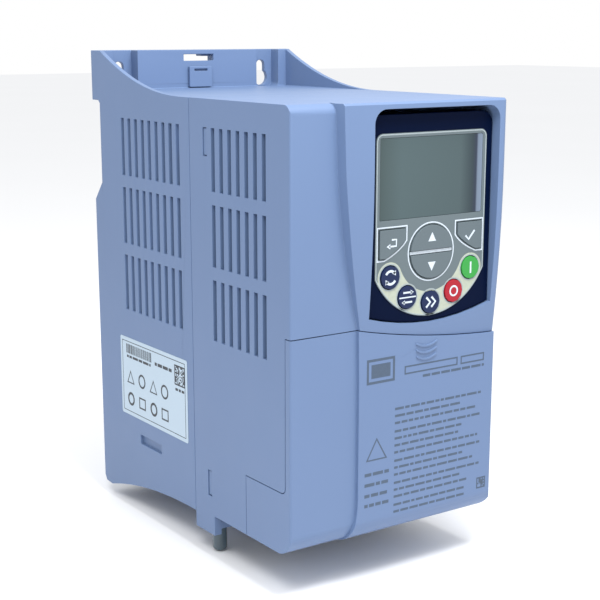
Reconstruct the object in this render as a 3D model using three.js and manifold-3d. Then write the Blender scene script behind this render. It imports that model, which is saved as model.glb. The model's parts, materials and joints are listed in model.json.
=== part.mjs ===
// Wall-mounted variable frequency drive for a small electric motor.
//
// Frame: +X to the right seen from the front, +Z up, and the front faces -Y.
// The back mounting plane is Y = 0 and the origin is the centre of that back face.
// "Depth" is the distance forward of the back plane (Y = -depth), and down(mm) is the
// height of a point that many millimetres below the top of the housing.

import * as THREE from 'three';
import { mergeVertices } from 'three/addons/utils/BufferGeometryUtils.js';
import Module from 'manifold-3d';

const wasm = await Module();
wasm.setup();

// ---------------------------------------------------------------- driving dimensions (mm)

const bodyWidth = 100;
const overallHeight = 199;        // rear housing, flange to flange
const overallDepth = 160;         // back plane to the foremost face of the control panel

const wall = 2.2;                 // moulded housing wall
const fit = 0.3;                  // gap between neighbouring pieces
const ease = 0.4;                 // gap around a piece that slides out

const flangeRise = 17;            // upper mounting flange above the housing top
const flangeDepth = 8.6;          // thickness of both mounting flanges
const pocketFloor = 2.4;          // plate left under a wall screw's head
const screwInset = 12.5;          // wall screws, in from each side
const topScrewDrop = 7.3;         // upper screws, below the flange's top edge
const bottomScrewRise = 6.7;      // lower screws, above the flange's bottom edge
const screwSlotRadius = 2.3;      // M4 screw shank
const screwHeadRadius = 3.7;      // M4 screw head
const pocketWidth = 12.2;

const frontHeight = 169;          // front housing, top to bottom edge
const seamDepth = 85.5;           // where the rear and front housings meet
const columnSetback = 4;          // plain left column, behind the control panel's face
const coverStep = 1.4;            // panel part of the terminal cover, proud of the column
const panelRake = 3.4;            // control panel's lower edge, behind its upper edge
const flatPanel = 25;             // height of the panel's upright upper stretch
const panelLean = 66;             // height over which the rake builds up
const panelMarginTop = 15.2;      // foot of the panel's bevel, left of the keypad, at the top
const panelMarginSeam = 4.6;        // and at the cover's seam
const seamDrop = 84.5;            // cover's upper edge on the column
const seamSag = 9;                // how much lower that edge is at the right side
const footDrop = 177.5;           // bottom of the foot channel
const footDepth = 15;
const footWall = 3.3;

const railHeight = 35;            // DIN rail width
const railRecess = 7;             // depth of the rail recess in the back
const railTop = 4.4;              // rail recess, below the housing top
const lockTravel = 3;             // rail lock, upwards to release

const hmiMargin = 4.6;            // keypad, in from the right side
const hmiWidth = 60.4;
const hmiTop = 4.8;               // keypad, below the housing top
const hmiHeight = 79.8;
const hmiSag = 4.6;               // bow of its lower edge
const hmiRecess = 4;              // keypad's face behind the panel's face
const hmiThickness = 16;
const hmiWall = 1.8;
const keyTravel = 0.6;
const keyGap = 0.25;
const keyProud = 0.6;

const ventWidth = 2.6;
const ventPitch = 5.95;
const ventDrop = 11;
const ventRowHeight = 24.4;
const ventRowGap = 5.2;
const ventRows = 3;
const rearVentColumns = 9;
const rearVentInset = 9.7;        // foremost rear slot's centre, behind the seam
const frontVentColumns = 7;
const frontVentInset = 17.7;      // rearmost front slot's centre, in front of the seam
const latchWidth = 3;
const latchHeight = 11;

const fanSize = 60;
const fanHeight = 15;
const heatsinkBase = 61;          // depth of the heatsink's mounting face
const powerBoardDepth = 70;
const controlBoardDepth = 121.5;
const boardThickness = 1.6;

// ---------------------------------------------------------------- places that follow from them

const halfWidth = bodyWidth / 2;
const innerHalf = halfWidth - wall;
const screwPitch = bodyWidth - 2 * screwInset;
const hmiCentre = halfWidth - hmiMargin - hmiWidth / 2;
const panelFootTop = hmiCentre - hmiWidth / 2 - panelMarginTop;
const panelFootSeam = hmiCentre - hmiWidth / 2 - panelMarginSeam;
const rearVentStart = seamDepth - rearVentInset - (rearVentColumns - 1) * ventPitch;
const frontVentStart = seamDepth + frontVentInset;
const fanDepth = powerBoardDepth - ease - fanSize / 2;    // depth of the fan's axis
const flangeTop = overallHeight / 2;
const flangeBottom = -overallHeight / 2;
const bodyTop = flangeTop - flangeRise;
const down = (mm) => bodyTop - mm;
const frontBottom = down(frontHeight);
const columnFront = overallDepth - columnSetback;
const coverFront = columnFront + coverStep;
const hmiFace = overallDepth - hmiRecess;
const floorTop = frontBottom + wall;
const ledgeTop = floorTop;                      // floor left beside the cable entry
const coverSideDepth = columnFront - 3.4;      // rear edge of the cover on the housing's side
const tongueDepth = 125;                       // rear edge of the cover's lower tongue
const tongueTop = down(144.5);
const heatsinkHalf = innerHalf - 1.6;
const heatsinkTop = down(8);
const heatsinkBottom = down(148);

// ---------------------------------------------------------------- solid modelling helpers

function solidOf(geometry) {
  geometry.deleteAttribute('normal');
  geometry.deleteAttribute('uv');
  const merged = mergeVertices(geometry, 1e-4);
  return new wasm.Manifold(new wasm.Mesh({
    numProp: 3,
    vertProperties: Float32Array.from(merged.attributes.position.array),
    triVerts: Uint32Array.from(merged.index.array),
  }));
}

function geometryOf(solid) {
  const mesh = solid.getMesh();
  const geometry = new THREE.BufferGeometry();
  const positions = new Float32Array(mesh.vertProperties);
  geometry.setAttribute('position', new THREE.BufferAttribute(positions, 3));
  geometry.setIndex(new THREE.BufferAttribute(new Uint32Array(mesh.triVerts), 1));
  geometry.computeVertexNormals();
  return geometry;
}

const joined = (solids) => solids.reduce((sum, next) => sum.add(next));

function block(x0, x1, depth0, depth1, z0, z1) {
  const box = new THREE.BoxGeometry(x1 - x0, depth1 - depth0, z1 - z0);
  box.translate((x0 + x1) / 2, -(depth0 + depth1) / 2, (z0 + z1) / 2);
  return solidOf(box);
}

const extruded = (shape, length, curveSegments) =>
  new THREE.ExtrudeGeometry(shape, { depth: length, bevelEnabled: false, curveSegments });

// A front view outline (X, Z), extruded from one depth to another.
function forward(shape, depth0, depth1, curveSegments = 8) {
  const geometry = extruded(shape, depth1 - depth0, curveSegments);
  geometry.rotateX(Math.PI / 2);
  geometry.translate(0, -depth0, 0);
  return solidOf(geometry);
}

// A side view outline (depth, Z), extruded across X.
function sideways(shape, x0, x1, curveSegments = 8) {
  const geometry = extruded(shape, x1 - x0, curveSegments);
  const turn = new THREE.Matrix4().makeBasis(
    new THREE.Vector3(0, -1, 0), new THREE.Vector3(0, 0, 1), new THREE.Vector3(-1, 0, 0));
  geometry.applyMatrix4(turn);
  geometry.translate(x1, 0, 0);
  return solidOf(geometry);
}

// A plan view outline (X, depth), extruded upwards.
function upward(shape, z0, z1, curveSegments = 8) {
  const geometry = extruded(shape, z1 - z0, curveSegments);
  geometry.rotateX(Math.PI);
  geometry.translate(0, 0, z1);
  return solidOf(geometry);
}

function cylinder(radius, length, x, depth, z, axis, sides = 20) {
  const geometry = new THREE.CylinderGeometry(radius, radius, length, sides);
  if (axis === 'z') geometry.rotateX(Math.PI / 2);
  if (axis === 'x') geometry.rotateZ(Math.PI / 2);
  geometry.translate(x, -depth, z);
  return solidOf(geometry);
}

// A turned piece about a vertical axis, from profile points [radius, z] that close on the axis.
function turned(points, x, depth, sides = 24) {
  const profile = points.map(([radius, z]) => new THREE.Vector2(radius, z));
  const geometry = new THREE.LatheGeometry(profile, sides);
  geometry.rotateX(Math.PI / 2);
  geometry.translate(x, -depth, 0);
  return solidOf(geometry);
}

// A closed body through rings of points, the lowest first, each anticlockwise seen from above.
function loft(rings) {
  const count = rings[0].length;
  const positions = rings.flat().flatMap((point) => [point.x, point.y, point.z]);
  const triangles = [];
  for (let ring = 0; ring + 1 < rings.length; ring++) {
    for (let i = 0; i < count; i++) {
      const a = ring * count + i;
      const b = ring * count + (i + 1) % count;
      triangles.push(a, b, b + count, a, b + count, a + count);
    }
  }
  const outline = rings[0].map((point) => new THREE.Vector2(point.x, point.y));
  const last = (rings.length - 1) * count;
  for (const [a, b, c] of THREE.ShapeUtils.triangulateShape(outline, [])) {
    triangles.push(a, c, b, last + a, last + b, last + c);
  }
  const geometry = new THREE.BufferGeometry();
  geometry.setAttribute('position', new THREE.Float32BufferAttribute(positions, 3));
  geometry.setIndex(triangles);
  return solidOf(geometry);
}

function polygon(points) {
  const shape = new THREE.Shape();
  shape.moveTo(...points[0]);
  for (const point of points.slice(1)) shape.lineTo(...point);
  shape.closePath();
  return shape;
}

// A rectangle with its own radius at each corner: lower left, lower right, upper right, upper left.
function roundedRect(x0, x1, y0, y1, radii) {
  const corners = Array.isArray(radii) ? radii : Array(4).fill(radii);
  const [lowerLeft, lowerRight, upperRight, upperLeft] = corners;
  const shape = new THREE.Shape();
  shape.moveTo(x0 + lowerLeft, y0);
  shape.lineTo(x1 - lowerRight, y0);
  if (lowerRight) shape.absarc(x1 - lowerRight, y0 + lowerRight, lowerRight, -Math.PI / 2, 0);
  shape.lineTo(x1, y1 - upperRight);
  if (upperRight) shape.absarc(x1 - upperRight, y1 - upperRight, upperRight, 0, Math.PI / 2);
  shape.lineTo(x0 + upperLeft, y1);
  if (upperLeft) shape.absarc(x0 + upperLeft, y1 - upperLeft, upperLeft, Math.PI / 2, Math.PI);
  shape.lineTo(x0, y0 + lowerLeft);
  if (lowerLeft) shape.absarc(x0 + lowerLeft, y0 + lowerLeft, lowerLeft, Math.PI, Math.PI * 1.5);
  return shape;
}

// ---------------------------------------------------------------- materials and the assembly

const finishes = {
  housing: [0x8ea6d2, 0.5, 0],
  navy: [0x0e2450, 0.35, 0],
  membrane: [0x98a2a6, 0.55, 0],
  glass: [0x66757a, 0.12, 0],
  greyKey: [0x8f999d, 0.55, 0],
  navyKey: [0x12284f, 0.45, 0],
  redKey: [0xc22334, 0.45, 0],
  greenKey: [0x37a44d, 0.45, 0],
  label: [0xe6eef5, 0.5, 0],
  darkPlastic: [0x23262b, 0.55, 0],
  blackPlastic: [0x15171a, 0.6, 0],
  greyPlastic: [0x5d6c74, 0.3, 0],
  greenPlastic: [0x2e8b57, 0.55, 0],
  aluminium: [0xb9bcc0, 0.35, 1],
  steel: [0xa9adb3, 0.3, 1],
  board: [0x1f5a3a, 0.5, 0],
  capacitor: [0x1d2a44, 0.35, 0],
  ferrite: [0x3a3d3a, 0.7, 0],
  silicone: [0xbfc4c6, 0.8, 0],
};

const drive = new THREE.Group();
drive.name = 'variable_frequency_drive';

function addPiece(name, finish, solid) {
  const [color, roughness, metalness] = finishes[finish];
  const material = new THREE.MeshStandardMaterial({ color, roughness, metalness });
  material.name = finish;
  const mesh = new THREE.Mesh(geometryOf(solid), material);
  mesh.name = name;
  drive.add(mesh);
}

// ---------------------------------------------------------------- vents and snap latches

// Both sides' ventilation slots, through a side wall at each end of the width.
function ventSlots(columns, startDepth) {
  const slots = [];
  for (const side of [-1, 1]) {
    const outer = side * (halfWidth + 1);
    const inner = side * (innerHalf - 1);
    for (let column = 0; column < columns; column++) {
      const depth = startDepth + column * ventPitch;
      for (let row = 0; row < ventRows; row++) {
        const top = down(ventDrop + row * (ventRowHeight + ventRowGap));
        slots.push(block(Math.min(outer, inner), Math.max(outer, inner),
          depth - ventWidth / 2, depth + ventWidth / 2, top - ventRowHeight, top));
      }
    }
  }
  return joined(slots);
}

const latchDepth = frontVentStart - ventPitch;
const latchTops = [down(ventDrop), down(150)];

// Windows in the front housing's sides that the rear housing's latches snap into.
function latchWindows() {
  const windows = [];
  for (const side of [-1, 1]) {
    for (const top of latchTops) {
      const centre = side * halfWidth;
      windows.push(block(centre - wall - 1, centre + wall + 1,
        latchDepth - latchWidth / 2, latchDepth + latchWidth / 2, top - latchHeight, top));
    }
  }
  return joined(windows);
}

// The latches: a tongue inside the front housing's wall, and a nib that fills the window.
function latches() {
  const tongueOuter = innerHalf - fit;
  const tongueInner = tongueOuter - wall;
  const root = Math.max(seamDepth - 14, heatsinkBase + fit);
  const hooks = [];
  for (const side of [-1, 1]) {
    for (const top of latchTops) {
      const reach = (a, b, d0, d1, grow) => {
        const x = [side * a, side * b];
        return block(Math.min(...x), Math.max(...x), d0, d1, top - latchHeight - grow, top + grow);
      };
      hooks.push(reach(tongueInner, tongueOuter, root, latchDepth + latchWidth / 2 + 1, 1));
      hooks.push(reach(tongueInner, innerHalf + 0.5, root, seamDepth - 4, 1));
      hooks.push(reach(tongueOuter - 0.5, halfWidth - 0.4,
        latchDepth - latchWidth / 2 + fit, latchDepth + latchWidth / 2 - fit, -fit));
    }
  }
  return joined(hooks);
}

// ---------------------------------------------------------------- rear housing

function rearOutline() {
  const sweepEnd = seamDepth - 8;
  const curveTop = down(frontHeight + 2);
  const lip = 0.4 * railRecess;
  const shape = new THREE.Shape();
  shape.moveTo(0, flangeTop);
  shape.lineTo(flangeDepth, flangeTop);
  shape.quadraticCurveTo((flangeDepth + sweepEnd) / 2, bodyTop, sweepEnd, bodyTop);
  shape.lineTo(seamDepth - fit, bodyTop);
  shape.lineTo(seamDepth - fit, curveTop);
  shape.quadraticCurveTo(seamDepth / 2, curveTop, flangeDepth - 1.5, flangeBottom);
  shape.lineTo(1.6, flangeBottom + 0.4);
  shape.lineTo(0, flangeBottom + 3);
  shape.lineTo(0, down(railTop + railHeight + 9));
  shape.lineTo(railRecess, down(railTop + railHeight + 1));
  shape.lineTo(railRecess, down(railTop + 1.2));
  shape.lineTo(railRecess - lip / 2, down(railTop));
  shape.lineTo(0, down(railTop));
  shape.closePath();
  return shape;
}

// Keyhole for a wall screw: a round hole for the head, and a slot above it for the shank.
function keyhole(x) {
  const slotTop = flangeTop - topScrewDrop;
  const headCentre = slotTop - 5.8;
  const span = pocketFloor + 2;
  return joined([
    cylinder(screwHeadRadius, span, x, pocketFloor / 2, headCentre, 'y'),
    cylinder(screwSlotRadius, span, x, pocketFloor / 2, slotTop, 'y'),
    block(x - screwSlotRadius, x + screwSlotRadius, -1, pocketFloor + 1, headCentre, slotTop),
  ]);
}

// Open slot for a lower wall screw.
function openSlot(x) {
  const centre = flangeBottom + bottomScrewRise;
  return joined([
    cylinder(screwSlotRadius, pocketFloor + 2, x, pocketFloor / 2, centre, 'y'),
    block(x - screwSlotRadius, x + screwSlotRadius, -1, pocketFloor + 1, flangeBottom - 1, centre),
  ]);
}

function screwPockets() {
  const cuts = [];
  for (const x of [-screwPitch / 2, screwPitch / 2]) {
    const left = x - pocketWidth / 2;
    const right = x + pocketWidth / 2;
    const upper = roundedRect(left, right, bodyTop - 1, flangeTop + 1, [3, 3, 0, 0]);
    const lower = roundedRect(left, right, flangeBottom - 1, frontBottom - 1, [0, 0, 3, 3]);
    cuts.push(forward(upper, pocketFloor, flangeDepth + 1, 4));
    cuts.push(forward(lower, pocketFloor, flangeDepth + 1, 4));
    cuts.push(keyhole(x), openSlot(x));
  }
  return joined(cuts);
}

const lockPocketHalf = 9.6;
const lockSheet = 2.2;                       // flange left in front of the lock's pocket
const lockTabTop = bodyTop + 9.7;
const lockNeckHalf = 3;
const lockNeck = [bodyTop + 2.6, bodyTop + 5.6];    // height of its neck at rest

// Channel for the rail lock behind the flange's face, its neck slot and the lever opening above.
function lockChannel() {
  const behind = flangeDepth - lockSheet;
  const leverBottom = lockTabTop + 2.4;
  return joined([
    block(-lockPocketHalf, lockPocketHalf, -1, behind, down(railTop + 1), leverBottom + 2),
    block(-lockPocketHalf, 3.4, -1, behind, leverBottom, leverBottom + 3.6),
    block(-lockNeckHalf - ease, lockNeckHalf + ease, behind - 1, flangeDepth + 1,
      lockNeck[0] - ease, lockNeck[1] + lockTravel + ease),
    block(-7.8, 7.8, behind - 1, flangeDepth + 1, leverBottom, leverBottom + 2.9),
  ]);
}

const fanSeat = fanSize + 2;
const heatsinkPlate = 6;

// Ribs inside the side walls that the heatsink's base plate rests against.
function heatsinkRibs() {
  const front = heatsinkBase - heatsinkPlate;
  return block(-halfWidth + 1, -heatsinkHalf + 1.6, front - 4, front, heatsinkBottom, heatsinkTop)
    .add(block(heatsinkHalf - 1.6, halfWidth - 1, front - 4, front, heatsinkBottom, heatsinkTop));
}

function rearHousing() {
  const step = down(railTop + railHeight + 12);
  const over = seamDepth + 1;
  return sideways(rearOutline(), -halfWidth, halfWidth, 12)
    .subtract(block(-innerHalf, innerHalf, flangeDepth, over, bodyTop, flangeTop + 1))
    .subtract(block(-innerHalf, innerHalf, flangeDepth, over, flangeBottom - 1, frontBottom))
    .subtract(block(-innerHalf, innerHalf, wall, over, floorTop, step))
    .subtract(block(-innerHalf, innerHalf, railRecess + wall, over, step - 1, bodyTop - wall))
    .subtract(screwPockets())
    .subtract(lockChannel())
    .add(heatsinkRibs())
    .subtract(block(-fanSeat / 2, fanSeat / 2, fanDepth - fanSeat / 2, fanDepth + fanSeat / 2,
      frontBottom - 1, floorTop + 1))
    .subtract(ventSlots(rearVentColumns, rearVentStart))
    .subtract(block(-halfWidth - 1, -halfWidth + 1.5, 37.2, 56.4, down(154.3), down(150.2)))
    .add(latches());
}

// ---------------------------------------------------------------- front envelope of housing and cover

const columnEdge = 1;                          // radius of the column's upright edge
const lowerCorner = 5;                         // radius of the lower right corner in the front view

function columnEnvelope() {
  const back = seamDepth;
  const profile = roundedRect(back, columnFront, frontBottom, bodyTop, [0, 9, 4, 0]);
  const plan = roundedRect(-halfWidth, halfWidth, back, columnFront, [0, 0, 3.5, columnEdge]);
  const face = roundedRect(-halfWidth, halfWidth, frontBottom, bodyTop + 1, [0, lowerCorner, 0, 0]);
  return sideways(profile, -halfWidth, halfWidth, 6)
    .intersect(upward(plan, frontBottom - 1, bodyTop + 1, 6))
    .intersect(forward(face, back - 1, columnFront + 1, 6));
}

// How far forward the control panel's face is, a given distance below the top.
function panelDepthAt(drop) {
  const lean = Math.max(0, (drop - flatPanel) / panelLean);
  return overallDepth - panelRake * lean * lean;
}

const browLean = 0.25;         // sideways lean of the wall down the panel's left, per millimetre of height

// The raised control panel: upright above, leaning back below. The wall down its left side sweeps
// inwards towards the seam.
function panelEnvelope() {
  const edge = 0.8;
  const corner = 2.5;
  const drops = [seamDrop + seamSag + 2, 86, 77, 68, 58, 47, 36, flatPanel, edge, 0];
  const rings = drops.map((drop) => {
    const foot = panelFootTop + (panelFootSeam - panelFootTop) * (drop / seamDrop) ** 2;
    const face = panelDepthAt(Math.max(drop, edge)) - (drop === 0 ? edge : 0);
    const brow = foot + (face - columnFront) * browLean;
    const ring = [[foot, columnFront - 9], [foot, columnFront - 0.05], [brow, face]];
    ring.push([halfWidth - corner, face]);
    for (const turn of [0.25, 0.5, 0.75, 1]) {
      const angle = turn * Math.PI / 2;
      ring.push([halfWidth - corner + corner * Math.sin(angle), face - corner + corner * Math.cos(angle)]);
    }
    ring.push([halfWidth, columnFront - 9]);
    return ring.map(([x, depth]) => new THREE.Vector3(x, -depth, down(drop)));
  });
  return loft(rings);
}

// The cover's share of the control panel: slightly proud of the column, rolled under at the bottom.
function coverPanelEnvelope() {
  const left = panelFootSeam;
  const profile = roundedRect(columnFront - 12, coverFront, frontBottom, down(seamDrop - 4), [0, 9, 0, 0]);
  const outline = new THREE.Shape();
  outline.moveTo(left - 0.5, down(seamDrop - 4));
  outline.lineTo(left, down(seamDrop + 20));
  outline.lineTo(left, frontBottom + 18);
  outline.quadraticCurveTo(left - 0.2, frontBottom + 7, left - 4, frontBottom - 1);
  outline.lineTo(halfWidth - lowerCorner * 1.6, frontBottom - 1);
  outline.quadraticCurveTo(halfWidth, frontBottom - 1, halfWidth, frontBottom + lowerCorner * 1.6);
  outline.lineTo(halfWidth, down(seamDrop - 4));
  outline.closePath();
  const plan = roundedRect(left - 5, halfWidth, columnFront - 12, coverFront, [0, 0, 2.5, 0]);
  return sideways(profile, left - 5, halfWidth, 6)
    .intersect(forward(outline, columnFront - 12, coverFront + 1, 6))
    .intersect(upward(plan, frontBottom - 1, down(seamDrop - 5), 4));
}

// Everything below the cover's seam line in the front view; grow widens it into the housing.
function belowSeam(grow) {
  const shape = new THREE.Shape();
  shape.moveTo(-halfWidth - 1, frontBottom - 2);
  shape.lineTo(halfWidth + 1, frontBottom - 2);
  shape.lineTo(halfWidth + 1, down(seamDrop + seamSag) + grow);
  shape.quadraticCurveTo(panelFootSeam + 34, down(seamDrop + seamSag - 1.2) + grow,
    panelFootSeam, down(seamDrop) + grow);
  shape.lineTo(-halfWidth - 1, down(seamDrop) + grow);
  shape.closePath();
  return shape;
}

const notchRadius = 3;                         // fillet where the cover's side meets its tongue

function notchFillet(grow) {
  const depth = coverSideDepth - grow;
  const z = tongueTop + grow;
  const radius = notchRadius - grow;
  const shape = new THREE.Shape();
  shape.moveTo(depth + 1, z - 1);
  shape.lineTo(depth + 1, z + radius);
  shape.lineTo(depth, z + radius);
  shape.absarc(depth - radius, z + radius, radius, 0, -Math.PI / 2, true);
  shape.lineTo(depth - radius, z - 1);
  shape.closePath();
  return sideways(shape, -halfWidth - 1, halfWidth + 1, 5);
}

// The space that the terminal cover fills: its front, and the tongue that wraps round below.
function coverZone(grow) {
  const front = forward(belowSeam(grow), coverSideDepth - grow, overallDepth + 5, 10);
  const tongue = roundedRect(tongueDepth - grow, overallDepth + 5, frontBottom - 2, tongueTop + grow, 0);
  return front
    .add(sideways(tongue, -halfWidth - 1, halfWidth + 1))
    .add(notchFillet(grow));
}

const innerFront = columnFront - wall;

// The space inside the front housing and the terminal cover.
function frontHollow() {
  const hollow = roundedRect(seamDepth - 1, innerFront, floorTop, bodyTop - wall, [0, 7, 2, 0]);
  return sideways(hollow, -innerHalf, innerHalf, 5);
}

// ---------------------------------------------------------------- keypad outline

// Keypad outline in the front view: round upper corners and a bowed lower edge.
function keypadOutline(grow, extraTop = 0) {
  const left = hmiCentre - hmiWidth / 2 - grow;
  const right = hmiCentre + hmiWidth / 2 + grow;
  const top = down(hmiTop) + grow + extraTop;
  const shoulder = down(hmiTop + hmiHeight - hmiSag) - grow;
  const corner = 5 + grow;
  const shape = new THREE.Shape();
  shape.moveTo(left, shoulder);
  shape.quadraticCurveTo(hmiCentre, shoulder - 2 * hmiSag, right, shoulder);
  shape.lineTo(right, top - corner);
  shape.absarc(right - corner, top - corner, corner, 0, Math.PI / 2);
  shape.lineTo(left + corner, top);
  shape.absarc(left + corner, top - corner, corner, Math.PI / 2, Math.PI);
  shape.closePath();
  return shape;
}

const thumbGap = 1.9;            // finger room above the keypad in its bay

function keypadBay() {
  const back = hmiFace - hmiThickness - 1;
  return forward(keypadOutline(ease + hmiWall, thumbGap), back, columnFront - wall / 2, 8);
}

// ---------------------------------------------------------------- front housing and terminal cover

function footChannel() {
  const top = ledgeTop;
  const bottom = down(footDrop);
  const front = seamDepth + footDepth;
  const outer = block(-halfWidth, halfWidth, seamDepth, front, bottom, top);
  const inside = halfWidth - footWall;
  const hollow = block(-inside, inside, seamDepth + wall, front - wall, bottom - 1, top + 1);
  const frontLip = block(-inside, inside, front - wall - 1, front + 1, bottom - 1, bottom + 2.4);
  return outer.subtract(hollow).subtract(frontLip);
}

const entryDepth = [seamDepth + wall, tongueDepth - 3];

function frontHousing() {
  const clearFloor = block(-halfWidth + footWall, halfWidth - footWall, entryDepth[0], entryDepth[1],
    frontBottom - 3, floorTop + 1);
  return columnEnvelope()
    .add(panelEnvelope())
    .subtract(frontHollow())
    .subtract(coverZone(fit))
    .add(keypadBay().subtract(coverZone(fit)))
    .subtract(forward(keypadOutline(ease, thumbGap), hmiFace - hmiThickness - 2, overallDepth + 2, 8))
    .add(footChannel())
    .subtract(clearFloor)
    .subtract(ventSlots(frontVentColumns, frontVentStart))
    .subtract(latchWindows());
}

// Three bowed grip ridges under the cover's seam.
function gripRidges() {
  const ridges = [];
  const x = hmiCentre - 2.2;
  for (const index of [0, 1, 2]) {
    const z = down(94.5 + index * 2.6);
    const half = 5.4 - index * 0.2;
    const shape = new THREE.Shape();
    shape.moveTo(x - half, z + 1.4);
    shape.quadraticCurveTo(x, z - 1.6, x + half, z + 1.4);
    shape.lineTo(x + half, z + 2.1);
    shape.quadraticCurveTo(x, z - 0.7, x - half, z + 2.1);
    shape.closePath();
    ridges.push(forward(shape, coverFront - 0.5, coverFront + 0.5, 6));
  }
  return joined(ridges);
}

function terminalCover() {
  return columnEnvelope()
    .add(coverPanelEnvelope())
    .subtract(frontHollow())
    .intersect(coverZone(0))
    .add(gripRidges());
}

// ---------------------------------------------------------------- rail lock and rating label

function railLock() {
  const blade = flangeDepth - lockSheet - fit;
  const tabBack = flangeDepth + fit;
  const tab = roundedRect(-5.9, 5.9, bodyTop + 0.4, lockTabTop, 0.5);
  const slot = block(-3.4, 3.4, tabBack + 0.5, tabBack + 3, lockTabTop - 2.2, lockTabTop - 1.1);
  return joined([
    block(-7, 7, blade - 2.8, blade, down(railTop + 3.2), lockTabTop - 1.5),
    block(-lockNeckHalf, lockNeckHalf, blade - 1, tabBack + 0.5, ...lockNeck),
    forward(tab, tabBack, tabBack + 1.6, 3),
  ]).subtract(slot);
}

function ratingLabel() {
  const front = seamDepth - 5.3;
  const length = 59.6;
  const thickness = 0.15;
  const outline = roundedRect(front - length, front, down(143.2), down(107.4), 1);
  return sideways(outline, -halfWidth - thickness, -halfWidth, 3);
}

// ---------------------------------------------------------------- cooling: heatsink and fan

function heatsink() {
  const finPitch = 6;
  const finThickness = 1.8;
  const finTip = 13;
  const baseBack = heatsinkBase - heatsinkPlate;
  const points = [[-heatsinkHalf, heatsinkBase], [heatsinkHalf, heatsinkBase], [heatsinkHalf, baseBack]];
  const span = heatsinkHalf - 4.2;
  const count = Math.floor(2 * span / finPitch + 1e-6) + 1;
  for (let fin = 0; fin < count; fin++) {
    const x = ((count - 1) / 2 - fin) * finPitch;
    points.push([x + finThickness / 2, baseBack], [x + finThickness / 2, finTip]);
    points.push([x - finThickness / 2, finTip], [x - finThickness / 2, baseBack]);
  }
  points.push([-heatsinkHalf, baseBack]);
  return upward(polygon(points), heatsinkBottom, heatsinkTop);
}

const fanBottom = floorTop + fit;
const fanTop = fanBottom + fanHeight;
const fanBore = fanSize / 2 - 1.5;
const fanHub = 13;

function fanFrame() {
  const outline = roundedRect(-fanSize / 2, fanSize / 2, fanDepth - fanSize / 2, fanDepth + fanSize / 2, 4);
  const frame = upward(outline, fanBottom, fanTop, 4)
    .subtract(cylinder(fanBore, fanHeight * 2, 0, fanDepth, fanBottom, 'z', 36));
  const holes = [];
  const corner = fanSize / 2 - 5;
  for (const x of [-corner, corner]) {
    for (const depth of [fanDepth - corner, fanDepth + corner]) {
      holes.push(cylinder(2.1, fanHeight * 3, x, depth, fanBottom, 'z', 10));
    }
  }
  const struts = [0, 120, 240].map((angle) => {
    const strut = new THREE.BoxGeometry(fanSize / 2 - 1, 3, 1.8);
    strut.translate(fanSize / 4 - 0.5, 0, 0);
    strut.rotateZ(THREE.MathUtils.degToRad(angle + 30));
    strut.translate(0, -fanDepth, fanBottom + 0.9);
    return solidOf(strut);
  });
  return joined([frame.subtract(joined(holes)), ...struts,
    cylinder(fanHub, 1.8, 0, fanDepth, fanBottom + 0.9, 'z', 24)]);
}

function fanRotor() {
  const bottom = fanBottom + 2.4;
  const top = fanTop - 0.8;
  const bladeCount = 7;
  const root = fanHub - 1.5;
  const tip = fanBore - 0.9;
  const blades = [];
  for (let blade = 0; blade < bladeCount; blade++) {
    const vane = new THREE.BoxGeometry(tip - root, 11.5, 1.3);
    vane.rotateX(THREE.MathUtils.degToRad(52));
    vane.translate((tip + root) / 2, 0, 0);
    vane.rotateZ(blade * Math.PI * 2 / bladeCount);
    vane.translate(0, -fanDepth, (bottom + top) / 2);
    blades.push(solidOf(vane));
  }
  return joined([cylinder(fanHub, top - bottom, 0, fanDepth, (bottom + top) / 2, 'z', 28), ...blades]);
}

// Removable grille under the fan: concentric rings on a cross, in a square rim.
function fanGrille() {
  const half = fanSeat / 2 - fit;
  const bottom = frontBottom;
  const top = floorTop;
  const rim = block(-half, half, fanDepth - half, fanDepth + half, bottom, top)
    .subtract(cylinder(fanBore, 10, 0, fanDepth, bottom, 'z', 32));
  const parts = [rim];
  for (const radius of [8, 13.5, 19, 24.5]) {
    parts.push(turned([[radius - 0.8, bottom], [radius + 0.8, bottom], [radius + 0.8, top],
      [radius - 0.8, top], [radius - 0.8, bottom]], 0, fanDepth, 28));
  }
  parts.push(block(-fanBore - 1, fanBore + 1, fanDepth - 0.9, fanDepth + 0.9, bottom, top));
  parts.push(block(-0.9, 0.9, fanDepth - fanBore - 1, fanDepth + fanBore + 1, bottom, top));
  return joined(parts);
}

// ---------------------------------------------------------------- power electronics

const boardHalf = innerHalf - 3.8;
const boardTop = down(7);
const spacerRadius = 2.6;
const spacerNeck = 1.5;
const spacerX = boardHalf - 5;
const spacerPlaces = [[-spacerX, 13], [spacerX, 13], [-spacerX, 112], [spacerX, 112]];

function board(depth, x0, x1, z0, z1, corner = 2) {
  return forward(roundedRect(x0, x1, z0, z1, corner), depth, depth + boardThickness, 3);
}

// A board across the housing, with a hole at each spacer.
function mainBoard(depth, bottom) {
  const holes = spacerPlaces.map(([x, drop]) =>
    cylinder(spacerNeck + fit, 4, x, depth, down(drop), 'y', 10));
  return board(depth, -boardHalf, boardHalf, bottom, boardTop).subtract(joined(holes));
}

// Spacer from the heatsink to the control board, with a neck where it passes the power board.
function boardSpacer(index) {
  const [x, drop] = spacerPlaces[index];
  const rod = (radius, start, end, sides) =>
    cylinder(radius, end - start, x, (start + end) / 2, down(drop), 'y', sides);
  const boardFront = powerBoardDepth + boardThickness;
  return rod(spacerRadius, heatsinkBase, powerBoardDepth, 6)
    .add(rod(spacerNeck, powerBoardDepth - 1, boardFront + 1, 10))
    .add(rod(spacerRadius, boardFront, controlBoardDepth, 6))
    .subtract(rod(spacerNeck, controlBoardDepth - 6, controlBoardDepth + 1, 10));
}

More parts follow.
